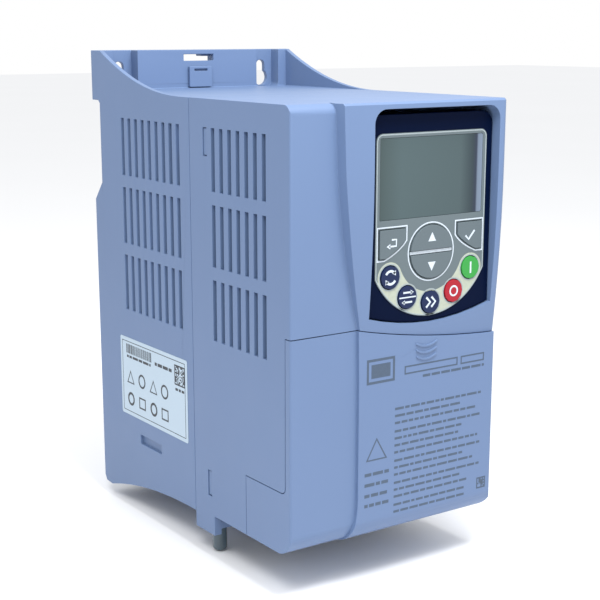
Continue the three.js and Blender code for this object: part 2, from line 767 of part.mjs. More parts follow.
// A screw head facing forward, with a cross recess.
function crossScrew(radius, length, x, depth, z) {
  const slot = 0.35;
  const reach = radius * 0.75;
  const front = depth + length / 2;
  return cylinder(radius, length, x, depth, z, 'y', 16)
    .subtract(block(x - reach, x + reach, front - 0.9, front + 1, z - slot, z + slot))
    .subtract(block(x - slot, x + slot, front - 0.9, front + 1, z - reach, z + reach));
}

function boardScrew(index) {
  const [x, drop] = spacerPlaces[index];
  const front = controlBoardDepth + boardThickness;
  return crossScrew(2.6, 1.8, x, front + 0.9, down(drop))
    .add(cylinder(spacerNeck - 0.2, boardThickness + 4, x, front + 0.5 - (boardThickness + 4) / 2,
      down(drop), 'y', 10));
}

const capacitorRadius = 12;
const capacitorLength = 40;
const relayWidth = 13;
const relayRight = boardHalf - 5;
const capacitorPitch = 2 * capacitorRadius + 4;
const capacitorSpan = capacitorPitch + 2 * capacitorRadius;

// Two columns of capacitors share the board to the left of the relay, with two thirds of
// the spare room on their left.
const capacitorSpare = boardHalf + relayRight - relayWidth - capacitorSpan;
const capacitorLeft = -boardHalf + capacitorSpare * 2 / 3 + capacitorRadius;
const capacitorX = [capacitorLeft, capacitorLeft + capacitorPitch];
const capacitorPlaces = [30, 58].flatMap((drop) => capacitorX.map((x) => [x, drop]));

// A can capacitor standing on the power board, with the rolled groove near its foot.
function capacitor(index) {
  const [x, drop] = capacitorPlaces[index];
  const foot = powerBoardDepth + boardThickness;
  const groove = foot + 4;
  const can = cylinder(capacitorRadius, capacitorLength, x, foot + capacitorLength / 2, down(drop), 'y', 28);
  const ring = cylinder(capacitorRadius + 1, 1.6, x, groove, down(drop), 'y', 28)
    .subtract(cylinder(capacitorRadius - 0.8, 3, x, groove, down(drop), 'y', 28));
  return can.subtract(ring);
}

function filterChoke() {
  const foot = powerBoardDepth + boardThickness;
  const x = boardHalf - 10;
  const z = down(80);
  const half = 7;
  return cylinder(11, 2 * half, x - 2, foot + 12, z, 'x', 24)
    .subtract(cylinder(5, 4 * half, x, foot + 12, z, 'x', 16))
    .add(block(x - 9, x + 5, foot, foot + 3, z - 10, z + 10));
}

function prechargeRelay() {
  const foot = powerBoardDepth + boardThickness;
  const outline = roundedRect(relayRight - relayWidth, relayRight, down(54), down(25), 1);
  return forward(outline, foot, foot + 16, 3);
}

function powerModule() {
  const body = block(-28, 28, heatsinkBase, powerBoardDepth, down(95), down(45));
  const ears = block(-34, 34, heatsinkBase, heatsinkBase + 3, down(76), down(64));
  return body.add(ears);
}

const terminalBlockBottom = down(160);
const terminalBlockTop = down(143);
const terminalFront = 116;
const terminalCount = 8;
const terminalPitch = 2 * (boardHalf - 4) / terminalCount;
const terminalX = (index) => (index - (terminalCount - 1) / 2) * terminalPitch;

// Row of cage terminals on the power board: wire entries below, screw wells in front.
function powerTerminals() {
  const half = terminalCount * terminalPitch / 2 + 1;
  const back = powerBoardDepth + boardThickness;
  let body = block(-half, half, back, terminalFront - 10, terminalBlockBottom + 3, terminalBlockTop - 3)
    .add(block(-half, half, terminalFront - 11, terminalFront, terminalBlockBottom, terminalBlockTop));
  for (let index = 0; index < terminalCount; index++) {
    const x = terminalX(index);
    body = body
      .subtract(block(x - 1.8, x + 1.8, terminalFront - 7.6, terminalFront - 4, terminalBlockBottom - 1,
        terminalBlockBottom + 8))
      .subtract(cylinder(3, 2 * terminalWell, x, terminalFront, terminalScrewZ, 'y', 16));
  }
  return body;
}

const terminalScrewZ = terminalBlockTop - 6.5;
const terminalWell = 4;

const terminalScrew = (index) =>
  crossScrew(2.6, 2.8, terminalX(index), terminalFront - terminalWell + 1.4, terminalScrewZ);

// Earth bar across the bottom of the front housing, with a tapped hole for each earth screw.
const earthBarAxis = seamDepth + footDepth / 2;    // depth of the bar's centre line
const earthBarZ = [ledgeTop, ledgeTop + 2];
const earthScrewX = [-29, 29];
const earthPostX = -halfWidth + 6.8;
const earthHole = 2.05;

function earthBar() {
  const half = innerHalf - fit;
  const bar = block(-half, half, earthBarAxis - 3, earthBarAxis + 3, earthBarZ[0], earthBarZ[1]);
  const holes = [...earthScrewX, earthPostX].map((x) =>
    cylinder(earthHole, 8, x, earthBarAxis, earthBarZ[0], 'z', 12));
  return bar.subtract(joined(holes));
}

// Screw up through the earth bar, its pointed tip below the foot.
function earthScrew(x) {
  const seat = earthBarZ[1] + fit;
  const tip = frontBottom - 14.5;
  return turned([[0, tip], [0.8, tip], [1.8, tip + 2.5], [1.8, seat], [3.6, seat],
    [3.6, seat + 2.3], [0, seat + 2.3]], x, earthBarAxis, 12);
}

// Round-ended post for a shield plate, hanging below the foot channel.
function earthPost() {
  const radius = 3.1;
  const top = earthBarZ[0] - fit;
  const bottom = down(187.5);
  const profile = [[0, bottom]];
  for (const turn of [0, 0.33, 0.66, 1]) {
    const angle = turn * Math.PI / 2;
    profile.push([radius - 2 + 2 * Math.sin(angle), bottom + 2 - 2 * Math.cos(angle)]);
  }
  profile.push([radius, top], [1.7, top], [1.7, earthBarZ[1] + 3], [0, earthBarZ[1] + 3]);
  return turned(profile, earthPostX, earthBarAxis, 20);
}

// ---------------------------------------------------------------- control electronics

const socketX = hmiCentre;
const socketZ = down(62);
const plugHalf = [10, 3.5];

function keypadSocket() {
  const start = controlBoardDepth + boardThickness;
  const end = hmiFace - hmiThickness - 4;
  const clear = ease;
  return block(socketX - plugHalf[0] - 2, socketX + plugHalf[0] + 2, start, end,
    socketZ - plugHalf[1] - 2, socketZ + plugHalf[1] + 2)
    .subtract(block(socketX - plugHalf[0] - clear, socketX + plugHalf[0] + clear, start + 2, end + 1,
      socketZ - plugHalf[1] - clear, socketZ + plugHalf[1] + clear));
}

const moduleX = [halfWidth - 67, halfWidth - 5];
const moduleZ = [down(140), down(97)];
const moduleDepth = [controlBoardDepth + boardThickness, innerFront - 2];

// Plug-in input and output module: an open-backed case with a lowered terminal ledge.
function moduleCase() {
  const [back, front] = moduleDepth;
  const ledge = front - 12;
  const outer = sideways(polygon([[back, moduleZ[0]], [ledge, moduleZ[0]], [ledge, moduleZ[0] + 17],
    [front, moduleZ[0] + 22], [front, moduleZ[1]], [back, moduleZ[1]]]), moduleX[0], moduleX[1]);
  const inner = sideways(polygon([[back - 1, moduleZ[0] + 1.6], [ledge - 1.6, moduleZ[0] + 1.6],
    [ledge - 1.6, moduleZ[0] + 18], [front - 1.6, moduleZ[0] + 23], [front - 1.6, moduleZ[1] - 1.6],
    [back - 1, moduleZ[1] - 1.6]]), moduleX[0] + 1.6, moduleX[1] - 1.6);
  const gripSlots = [0, 1, 2].map((index) => {
    const top = down(103 + 4 * index);
    return block(moduleX[0] + 12, moduleX[1] - 12, front - 0.7, front + 1, top - 1.5, top);
  });
  return outer.subtract(inner).subtract(joined(gripSlots));
}

const moduleBoard = () =>
  board(moduleDepth[0] + 4, moduleX[0] + 2.2, moduleX[1] - 2.2, moduleZ[0] + 2.2, moduleZ[1] - 2.2, 1);

const stripPitch = 5;
const stripCount = 11;

// Pluggable terminal strip on the module's ledge, with one wire entry and screw well per pole.
function moduleStrip() {
  const back = moduleDepth[1] - 12 + fit;
  const x0 = (moduleX[0] + moduleX[1] - stripPitch * stripCount) / 2 - 1;
  const x1 = x0 + stripPitch * stripCount + 2;
  let strip = block(x0, x1, back, back + 9, moduleZ[0] + 1, moduleZ[0] + 13);
  for (let pole = 0; pole < stripCount; pole++) {
    const x = x0 + 1 + stripPitch * (pole + 0.5);
    strip = strip
      .subtract(cylinder(1.5, 3, x, back + 9, moduleZ[0] + 9.5, 'y', 10))
      .subtract(block(x - 1.4, x + 1.4, back + 5, back + 8, moduleZ[0] - 1, moduleZ[0] + 5));
  }
  return strip;
}

// ---------------------------------------------------------------- keypad

const membraneHalf = hmiWidth / 2 - 3;
const membraneTop = down(11.6);
const arcRadius = membraneHalf + 3.4;       // the membrane's round lower end
const arcCentre = down(82.6) + arcRadius;
const membraneThickness = 0.4;
const lcdHalf = hmiWidth / 2 - 5;
const lcdTop = down(13.4);
const lcdBottom = down(43.8);
const lcdSeat = 1.2;
const dialCentre = down(57.4);              // centre of the up and down keys
const dialRadius = 10.4;
const dialBar = 1.7;
const roundKeyRadius = 4.5;
const roundKeyRing = 23.2;                  // radius of the arc that the round keys sit on
const roundKeyCentre = down(54);
const panelBack = hmiFace - 1.6;

function membraneOutline() {
  const corner = 3;
  const dip = Math.sqrt(arcRadius ** 2 - membraneHalf ** 2);
  const startAngle = Math.atan2(-dip, -membraneHalf);
  const endAngle = Math.atan2(-dip, membraneHalf);
  const left = hmiCentre - membraneHalf;
  const right = hmiCentre + membraneHalf;
  const shape = new THREE.Shape();
  shape.moveTo(left, arcCentre - dip);
  shape.absarc(hmiCentre, arcCentre, arcRadius, startAngle, endAngle);
  shape.lineTo(right, membraneTop - corner);
  shape.absarc(right - corner, membraneTop - corner, corner, 0, Math.PI / 2);
  shape.lineTo(left + corner, membraneTop);
  shape.absarc(left + corner, membraneTop - corner, corner, Math.PI / 2, Math.PI);
  shape.closePath();
  return shape;
}

// The five round keys, thirty degrees apart on an arc under the up and down keys.
function roundKeyPlace(index) {
  const angle = THREE.MathUtils.degToRad(-150 + 30 * index);
  return [hmiCentre + roundKeyRing * Math.cos(angle), roundKeyCentre + roundKeyRing * Math.sin(angle)];
}

function roundKeyOutline(index, grow) {
  const shape = new THREE.Shape();
  shape.absarc(...roundKeyPlace(index), roundKeyRadius + grow, 0, Math.PI * 2);
  return shape;
}

// Half of the round up and down pad: side is +1 for the upper half, -1 for the lower.
function dialOutline(side, grow) {
  const radius = dialRadius + grow;
  const edge = dialBar / 2 - grow;
  const lean = Math.asin(edge / radius);
  const shape = new THREE.Shape();
  if (side > 0) shape.absarc(hmiCentre, dialCentre, radius, lean, Math.PI - lean);
  else shape.absarc(hmiCentre, dialCentre, radius, Math.PI + lean, Math.PI * 2 - lean);
  shape.closePath();
  return shape;
}

// Corner keys: square outside, cut away where they pass the round pad.
function cornerOutline(side, grow) {
  const outer = hmiCentre + side * (25.4 + grow);
  const inner = hmiCentre + side * (13 - grow);
  const middle = hmiCentre + side * (16 - grow);
  const top = down(47.4) + grow;
  const bottom = down(58.2) - grow;
  const shape = new THREE.Shape();
  shape.moveTo(outer, top);
  shape.lineTo(inner, top);
  shape.lineTo(inner, top - 4.4);
  shape.quadraticCurveTo(middle, bottom + 3, outer - side * 3, bottom);
  shape.lineTo(outer, bottom);
  shape.closePath();
  return shape;
}

const keys = [
  ['back_key', 'greyKey', (grow) => cornerOutline(-1, grow)],
  ['enter_key', 'greyKey', (grow) => cornerOutline(1, grow)],
  ['up_key', 'greyKey', (grow) => dialOutline(1, grow)],
  ['down_key', 'greyKey', (grow) => dialOutline(-1, grow)],
  ['direction_key', 'navyKey', (grow) => roundKeyOutline(0, grow)],
  ['local_remote_key', 'navyKey', (grow) => roundKeyOutline(1, grow)],
  ['jog_key', 'navyKey', (grow) => roundKeyOutline(2, grow)],
  ['stop_key', 'redKey', (grow) => roundKeyOutline(3, grow)],
  ['start_key', 'greenKey', (grow) => roundKeyOutline(4, grow)],
];

const keyCurve = 6;
const keyHoles = (depth0, depth1) =>
  joined(keys.map(([, , outline]) => forward(outline(keyGap), depth0, depth1, keyCurve)));

function lcdOutline(grow) {
  return roundedRect(hmiCentre - lcdHalf - grow, hmiCentre + lcdHalf + grow,
    lcdBottom - grow, lcdTop + grow, 0.6);
}

function keypadBody() {
  const back = hmiFace - hmiThickness + 2;
  const hollow = forward(keypadOutline(-hmiWall), back - 1, panelBack, 6);
  return forward(keypadOutline(0), back, hmiFace, 8)
    .subtract(hollow)
    .subtract(forward(lcdOutline(fit - 1), panelBack - 1, hmiFace + 1, 3))
    .subtract(forward(lcdOutline(0.1), hmiFace - lcdSeat, hmiFace + 1, 3))
    .subtract(keyHoles(panelBack - 1, hmiFace + 1));
}

function keypadMembrane() {
  return forward(membraneOutline(), hmiFace, hmiFace + membraneThickness, 12)
    .subtract(forward(lcdOutline(0.1), hmiFace - 1, hmiFace + 1, 3))
    .subtract(keyHoles(hmiFace - 1, hmiFace + 1));
}

const lcdWindow = () => forward(lcdOutline(0), hmiFace - lcdSeat, hmiFace + membraneThickness - 0.1, 3);

// A key: the cap that shows, and a wider flange behind the panel that stops it falling out.
function keyCap(outline) {
  const flangeFront = panelBack - 0.2;
  return forward(outline(0), flangeFront - 0.5, hmiFace + membraneThickness + keyProud, keyCurve)
    .add(forward(outline(0.55), flangeFront - 1, flangeFront, keyCurve));
}

const keyFoot = panelBack - 1.2;
const matFront = keyFoot - keyTravel - 0.3;

const matThickness = 0.8;

function keypadMat() {
  const half = hmiWidth / 2 - 3.7;
  const outline = roundedRect(hmiCentre - half, hmiCentre + half, down(78.5), down(46.6), 8);
  return forward(outline, matFront - matThickness, matFront, 4);
}

const keypadBoardDepth = matFront - matThickness - boardThickness;

function keypadBoard() {
  const half = hmiWidth / 2 - 3.2;
  return board(keypadBoardDepth, hmiCentre - half, hmiCentre + half, down(79), down(8), 5);
}

function lcdModule() {
  const half = lcdHalf + 1.2;
  const outline = roundedRect(hmiCentre - half, hmiCentre + half, down(45.4), down(11.8), 1);
  return forward(outline, keypadBoardDepth + boardThickness, panelBack, 3);
}

const keypadBackCover = () =>
  forward(keypadOutline(-0.2), hmiFace - hmiThickness, hmiFace - hmiThickness + 2, 6);

function keypadPlug() {
  const back = hmiFace - hmiThickness - 10;
  return block(socketX - plugHalf[0], socketX + plugHalf[0], back, hmiFace - hmiThickness,
    socketZ - plugHalf[1], socketZ + plugHalf[1]);
}

// ---------------------------------------------------------------- assembly

addPiece('rear_housing', 'housing', rearHousing());
addPiece('front_housing', 'housing', frontHousing());
addPiece('terminal_cover', 'housing', terminalCover());
addPiece('din_rail_lock', 'housing', railLock());
addPiece('rating_label', 'label', ratingLabel());

addPiece('heatsink', 'aluminium', heatsink());
addPiece('fan_frame', 'blackPlastic', fanFrame());
addPiece('fan_rotor', 'blackPlastic', fanRotor());
addPiece('fan_grille', 'housing', fanGrille());

addPiece('power_module', 'darkPlastic', powerModule());
addPiece('power_board', 'board', mainBoard(powerBoardDepth, terminalBlockBottom));
for (let index = 0; index < capacitorPlaces.length; index++) {
  addPiece(`dc_capacitor_${index + 1}`, 'capacitor', capacitor(index));
}
addPiece('filter_choke', 'ferrite', filterChoke());
addPiece('precharge_relay', 'darkPlastic', prechargeRelay());
addPiece('power_terminal_block', 'darkPlastic', powerTerminals());
for (let index = 0; index < terminalCount; index++) {
  addPiece(`terminal_screw_${index + 1}`, 'steel', terminalScrew(index));
}
addPiece('earth_bar', 'steel', earthBar());
for (const [index, x] of earthScrewX.entries()) {
  addPiece(`earth_screw_${index + 1}`, 'steel', earthScrew(x));
}
addPiece('earth_post', 'greyPlastic', earthPost());

addPiece('control_board', 'board', mainBoard(controlBoardDepth, down(138)));
for (let index = 0; index < spacerPlaces.length; index++) {
  addPiece(`board_spacer_${index + 1}`, 'steel', boardSpacer(index));
  addPiece(`board_screw_${index + 1}`, 'steel', boardScrew(index));
}
addPiece('keypad_socket', 'blackPlastic', keypadSocket());
addPiece('io_module_case', 'darkPlastic', moduleCase());
addPiece('io_module_board', 'board', moduleBoard());
addPiece('io_terminal_strip', 'greenPlastic', moduleStrip());

addPiece('keypad_body', 'navy', keypadBody());
addPiece('keypad_back_cover', 'navy', keypadBackCover());
addPiece('keypad_membrane', 'membrane', keypadMembrane());
addPiece('lcd_window', 'glass', lcdWindow());
addPiece('lcd_module', 'darkPlastic', lcdModule());
addPiece('keypad_board', 'board', keypadBoard());
addPiece('keypad_mat', 'silicone', keypadMat());
addPiece('keypad_plug', 'blackPlastic', keypadPlug());
for (const [name, finish, outline] of keys) {
  addPiece(name, finish, keyCap(outline));
}

export default drive;
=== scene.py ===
"""Looks of a wall-mounted variable frequency drive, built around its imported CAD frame.

Metres, +X right, +Z up, front towards -Y. Sizes named here are in millimetres and are
turned into metres by MM. Places come from the CAD nodes' boxes.
"""
import json
import math
import random

import bmesh
import bpy
from mathutils import Matrix, Vector
from mathutils.geometry import tessellate_polygon


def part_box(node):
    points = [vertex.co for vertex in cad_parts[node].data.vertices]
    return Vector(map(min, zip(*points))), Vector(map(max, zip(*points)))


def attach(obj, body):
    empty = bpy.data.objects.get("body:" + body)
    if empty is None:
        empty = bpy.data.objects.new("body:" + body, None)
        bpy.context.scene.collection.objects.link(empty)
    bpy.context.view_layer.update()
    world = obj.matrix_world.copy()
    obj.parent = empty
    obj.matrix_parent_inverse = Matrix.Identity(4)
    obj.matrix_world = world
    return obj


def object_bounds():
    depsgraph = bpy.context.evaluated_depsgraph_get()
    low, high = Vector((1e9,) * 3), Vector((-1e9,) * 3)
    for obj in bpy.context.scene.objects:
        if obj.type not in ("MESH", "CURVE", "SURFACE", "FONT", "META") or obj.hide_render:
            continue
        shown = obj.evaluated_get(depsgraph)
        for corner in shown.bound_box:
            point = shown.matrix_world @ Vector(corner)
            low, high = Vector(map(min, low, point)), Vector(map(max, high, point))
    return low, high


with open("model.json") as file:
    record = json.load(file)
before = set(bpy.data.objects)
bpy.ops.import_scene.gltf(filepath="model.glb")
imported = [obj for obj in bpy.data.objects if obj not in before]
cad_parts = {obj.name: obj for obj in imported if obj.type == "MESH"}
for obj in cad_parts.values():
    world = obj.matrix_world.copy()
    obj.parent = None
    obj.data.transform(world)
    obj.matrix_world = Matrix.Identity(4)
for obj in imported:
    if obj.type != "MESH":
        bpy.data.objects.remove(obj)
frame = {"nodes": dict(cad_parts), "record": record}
cad_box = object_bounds()
nodes = frame["nodes"]
MM = 0.001

# ------------------------------------------------------------------ driving values

CAMERA_TURN = 34.69          # degrees turned from straight on, towards +X
CAMERA_DIP = 12.88           # degrees looking down
CAMERA_PLACE = (-309.1, -536.4, 107.1)
CAMERA_LENS = 78.4
CAMERA_SENSOR = 36
CAMERA_SHIFT = 0.0523        # as a share of the sensor's width

# Lamps: name, place and target in metres, size in metres, power in watts.
LAMPS = [
    ("key", (-0.44, -0.5, 0.68), (0, -0.1, 0), 0.3, 3.6),
    ("overhead", (0, -0.3, 0.42), (0, -0.01, 0.09), 0.2, 2.6),
]
FLOOR_SIZE = 12              # metres
FLOOR_GAP = 0.2              # floor below the drive's lowest point

WELD_DISTANCE = 0.002
BEVEL_ANGLE = 50             # degrees; flatter edges aren't rounded
SMOOTH_ANGLE = 38            # degrees; flatter edges are shaded smooth
SMALL_EDGE = 0.12            # rounding of the nodes that aren't in EDGE_WIDTH
EDGE_WIDTH = {
    "rear_housing": 0.3,
    "front_housing": 0.15,
    "terminal_cover": 0.13,
    "din_rail_lock": 0.25,
    "fan_grille": 0.25,
    "keypad_body": 0.22,
}

PRINT_HEIGHT = 0.04          # thickness of the keypad's printed ink
BAND_HEIGHT = 0.02           # thickness of the pale band, which lies under the rings' ink
PANEL_PRINT_HEIGHT = 0.03    # thickness of the ink on the cover and the label
LINE = 0.5                   # printed outline's width

MEMBRANE_ARC_EXTRA = 3.4     # round lower end's radius, beyond the membrane's half width
MEMBRANE_CORNER = 3
MEMBRANE_BORDER_INSET = 0.25
MEMBRANE_BORDER = 0.45
BAND_LOBE = 5.8              # radius of the pale band's round ends
BAND_DIAL_RISE = 0.6         # centre of the band's inner edge above the dial's centre
ROUND_KEY_HOLE = 4.8
ROUND_KEYS = ["direction_key", "local_remote_key", "jog_key", "stop_key", "start_key"]
CORNER_KEY_STEPS = 11
SYMBOL_TRIANGLE = 1.9        # half width and tip height of the up and down triangles
SYMBOL_BASE = 1.6

# Print on the cover, measured from its right and top edges: left, right, bottom, top.
COVER_PRINT_SINK = 0.5       # print's plane behind the cover's foremost point
COVER_BADGE = (66, 52.4, 21.4, 11.6)
COVER_NAME_FRAMES = [(47.6, 20.5, 19.9, 16.5), (18.9, 6.4, 19.9, 16.5)]
COVER_SUBTITLE = (38.4, 6.3, 21.7)          # left, right, middle
COVER_TRIANGLE = [(66, 52), (55.6, 52), (60.8, 43)]
COVER_SIDE_WORDS = (66.5, 54.6)             # left, right
COVER_SIDE_DROPS = (57.4, 61.6, 66, 70)
COVER_TEXT_LEFT = 52
COVER_TEXT_TOP = 33
COVER_TEXT_WIDTH = 44.5                     # first line of a paragraph
COVER_TEXT_WIDTHS = (29, 44)                # its other lines
COVER_CODE = (8.4, 74.4, 4.8, 8)            # left, bottom, size, cells
COVER_CODE_TOP = 68                         # lines below this stay short, clear of the code
COVER_LINE_BESIDE_CODE = 38
COVER_GROUPS = [3, 4, 3, 3, 2]              # lines in each printed paragraph
COVER_LINE_PITCH = 2.85
COVER_GROUP_GAP = 0.55

# Print on the label, measured from its back, front and top edges.
LABEL_MARGIN = 1.7
LABEL_BAR_START = 5.6
LABEL_BAR_END = 29
LABEL_BARS = [0.25, 0.25, 0.45, 0.7]
LABEL_BAR_GAPS = [0.25, 0.35, 0.5]
LABEL_CODE = (10.6, 12.3, 8.8, 14)          # left of the front edge, bottom, size, cells
LABEL_MARKS = (9, 19.5, 30, 40)             # middles of the four columns of marks
LABEL_MARK_ROWS = (17.8, 28)

# ------------------------------------------------------------------ colour and node helpers


def linear(red, green, blue):
    """Linear colour from display values 0 to 255."""
    def channel(value):
        share = value / 255
        if share <= 0.04045:
            return share / 12.92
        return ((share + 0.055) / 1.055) ** 2.4
    return (channel(red), channel(green), channel(blue), 1)


class Shader:
    """A principled material with helpers that add object-space procedural detail."""

    def __init__(self, name, colour, roughness, metallic=0.0, **sockets):
        self.material = bpy.data.materials.new(name)
        self.material.use_nodes = True
        self.nodes = self.material.node_tree.nodes
        self.links = self.material.node_tree.links
        self.bsdf = self.nodes["Principled BSDF"]
        self.colour = linear(*colour)
        self.bsdf.inputs["Base Color"].default_value = self.colour
        self.bsdf.inputs["Roughness"].default_value = roughness
        self.bsdf.inputs["Metallic"].default_value = metallic
        for socket, value in sockets.items():
            self.bsdf.inputs[socket.replace("_", " ")].default_value = value
        self.place = self.nodes.new("ShaderNodeTexCoord").outputs["Object"]
        self.normal = None

    def noise(self, scale, detail=3.0, stretch=(1, 1, 1)):
        mapping = self.nodes.new("ShaderNodeMapping")
        mapping.inputs["Scale"].default_value = stretch
        self.links.new(self.place, mapping.inputs["Vector"])
        noise = self.nodes.new("ShaderNodeTexNoise")
        noise.inputs["Scale"].default_value = scale
        noise.inputs["Detail"].default_value = detail
        self.links.new(mapping.outputs["Vector"], noise.inputs["Vector"])
        return noise.outputs["Fac"]

    def vary_colour(self, factor, amount, other=None):
        """Varies the base colour from darker to lighter, or from darker to another colour."""
        ramp = self.nodes.new("ShaderNodeValToRGB")
        low, high = 1 - amount, 1 + amount
        ramp.color_ramp.elements[0].position = 0.3
        ramp.color_ramp.elements[1].position = 0.7
        ramp.color_ramp.elements[0].color = [*(c * low for c in self.colour[:3]), 1]
        lighter = other if other else [*(min(1, c * high) for c in self.colour[:3]), 1]
        ramp.color_ramp.elements[1].color = lighter
        self.links.new(factor, ramp.inputs["Fac"])
        self.links.new(ramp.outputs["Color"], self.bsdf.inputs["Base Color"])
        return self

    def vary_roughness(self, factor, low, high):
        span = self.nodes.new("ShaderNodeMapRange")
        span.inputs["To Min"].default_value = low
        span.inputs["To Max"].default_value = high
        self.links.new(factor, span.inputs["Value"])
        self.links.new(span.outputs["Result"], self.bsdf.inputs["Roughness"])
        return self

    def bump(self, factor, height, strength=0.5):
        bump = self.nodes.new("ShaderNodeBump")
        bump.inputs["Distance"].default_value = height * MM
        bump.inputs["Strength"].default_value = strength
        self.links.new(factor, bump.inputs["Height"])
        if self.normal:
            self.links.new(self.normal, bump.inputs["Normal"])
        self.normal = bump.outputs["Normal"]
        self.links.new(self.normal, self.bsdf.inputs["Normal"])
        return self


def moulded(name, colour, roughness, grain=0.02, variation=0.02, **sockets):
    """Injection-moulded plastic: fine spark-eroded grain, faint flow marks, uneven gloss."""
    flow_scale, gloss_scale, grain_scale, swell_scale = 14, 60, 2600, 25
    shader = Shader(name, colour, roughness, **sockets)
    shader.vary_colour(shader.noise(flow_scale, 4), variation)
    shader.vary_roughness(shader.noise(gloss_scale, 3), roughness - 0.05, roughness + 0.06)
    shader.bump(shader.noise(grain_scale, 2), grain, 0.4)
    shader.bump(shader.noise(swell_scale, 2), grain * 3, 0.15)
    return shader.material


def printed(name, colour, roughness=0.5):
    """Screen-printed ink: slightly uneven in density, softly rough."""
    shader = Shader(name, colour, roughness)
    shader.vary_colour(shader.noise(900, 3), 0.05)
    shader.bump(shader.noise(3000, 2), 0.006, 0.4)
    return shader.material


def metal(name, colour, roughness, stretch=(1, 1, 1), grain=0.01):
    shader = Shader(name, colour, roughness, metallic=1.0)
    lines = shader.noise(700, 3, stretch)
    shader.vary_colour(lines, 0.08)
    shader.vary_roughness(lines, roughness - 0.08, roughness + 0.12)
    shader.bump(lines, grain, 0.5)
    return shader.material


def circuit_board(name, colour):
    """Solder mask over a faint pattern of copper, with a glossy surface."""
    shader = Shader(name, colour, 0.35, Coat_Weight=0.3, Coat_Roughness=0.2)
    brick = shader.nodes.new("ShaderNodeTexBrick")
    brick.inputs["Scale"].default_value = 220
    brick.inputs["Mortar Size"].default_value = 0.03
    shader.links.new(shader.place, brick.inputs["Vector"])
    lighter = [*(min(1, c * 1.7) for c in shader.colour[:3]), 1]
    shader.vary_colour(brick.outputs["Fac"], 0.15, lighter)
    shader.bump(brick.outputs["Fac"], 0.02, 0.5)
    return shader.material


def display_glass_painted_light():
    """Unlit display: grey-green, with painted shade making it darker towards its left edge and in a band
    near its right edge, and a painted highlight as a pale strip along the right edge.
    """
    shader = Shader("display_glass_painted_light", (88, 103, 105), 0.4, Specular_IOR_Level=0.1)
    low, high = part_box("lcd_window")
    split = shader.nodes.new("ShaderNodeSeparateXYZ")
    shader.links.new(shader.place, split.inputs["Vector"])
    across = shader.nodes.new("ShaderNodeMapRange")
    across.inputs["From Min"].default_value = low.x
    across.inputs["From Max"].default_value = high.x
    shader.links.new(split.outputs["X"], across.inputs["Value"])
    ramp = shader.nodes.new("ShaderNodeValToRGB")
    # These stops paint shade and light across the glass: slightly darker at the left edge, a dark band
    # of painted shade near the right edge, then a painted highlight strip at the right edge.
    painted_light_stops = [
        (0.0, (66, 78, 79)),
        (0.2, (73, 87, 90)),
        (0.78, (70, 83, 86)),
        (0.9, (52, 62, 67)),
        (0.94, (50, 56, 70)),
        (0.955, (102, 114, 130)),
        (1.0, (110, 123, 140)),
    ]
    elements = ramp.color_ramp.elements
    while len(elements) < len(painted_light_stops):
        elements.new(0.5)
    for element, (position, colour) in zip(elements, painted_light_stops):
        element.position = position
        element.color = linear(*colour)
    shader.links.new(across.outputs["Result"], ramp.inputs["Fac"])
    shader.links.new(ramp.outputs["Color"], shader.bsdf.inputs["Base Color"])
    shader.bump(shader.noise(400, 2), 0.004, 0.3)
    return shader.material


MATERIALS = {
    "housing": moulded("housing_plastic", (96, 117, 152), 0.45, grain=0.015, variation=0.015,
                       Specular_IOR_Level=0.35),
    "navy": moulded("navy_plastic", (2, 13, 40), 0.45, grain=0.006, variation=0.05,
                    Specular_IOR_Level=0.05),
    "membrane": moulded("membrane_film", (87, 99, 104), 0.5, grain=0.01),
    "glass": display_glass_painted_light(),
    "grey_key": moulded("grey_key_film", (83, 95, 101), 0.5, grain=0.01),
    "navy_key": moulded("navy_key_film", (10, 28, 66), 0.42, grain=0.01,
                        Specular_IOR_Level=0.3),
    "red_key": moulded("red_key_film", (150, 22, 38), 0.42, grain=0.01,
                       Specular_IOR_Level=0.3),
    "green_key": moulded("green_key_film", (50, 140, 62), 0.42, grain=0.01,
                         Specular_IOR_Level=0.3),
    "label": moulded("label_film", (165, 183, 198), 0.38, grain=0.004, variation=0.01),
    "dark_plastic": moulded("dark_plastic", (44, 47, 52), 0.5, variation=0.08),
    "black_plastic": moulded("black_plastic", (26, 27, 30), 0.5, variation=0.08),
    "grey_plastic": moulded("post_cap", (66, 82, 92), 0.22, grain=0.004, Coat_Weight=0.5),
    "green_plastic": moulded("terminal_green", (36, 128, 78), 0.45),
    "aluminium": metal("extruded_aluminium", (196, 199, 204), 0.35, (1, 1, 0.03)),
    "steel": metal("zinc_steel", (186, 189, 194), 0.3, (1, 1, 1)),
    "board": circuit_board("solder_mask", (24, 84, 52)),
    "capacitor": moulded("capacitor_sleeve", (22, 34, 66), 0.25, grain=0.004, variation=0.06),
    "ferrite": moulded("coated_ferrite", (58, 62, 58), 0.6, grain=0.05, variation=0.12),
    "silicone": moulded("silicone", (190, 196, 198), 0.65, Subsurface_Weight=0.1),
}
INK = {
    "white": printed("white_ink", (190, 200, 210)),
    "cream": printed("cream_ink", (162, 169, 154)),
    "outline": printed("pale_outline_ink", (146, 157, 160)),
    "grey": printed("grey_cover_ink", (62, 78, 98), 0.55),
    "black": printed("black_label_ink", (40, 46, 54)),
}

# ------------------------------------------------------------------ CAD nodes: finish and softened edges


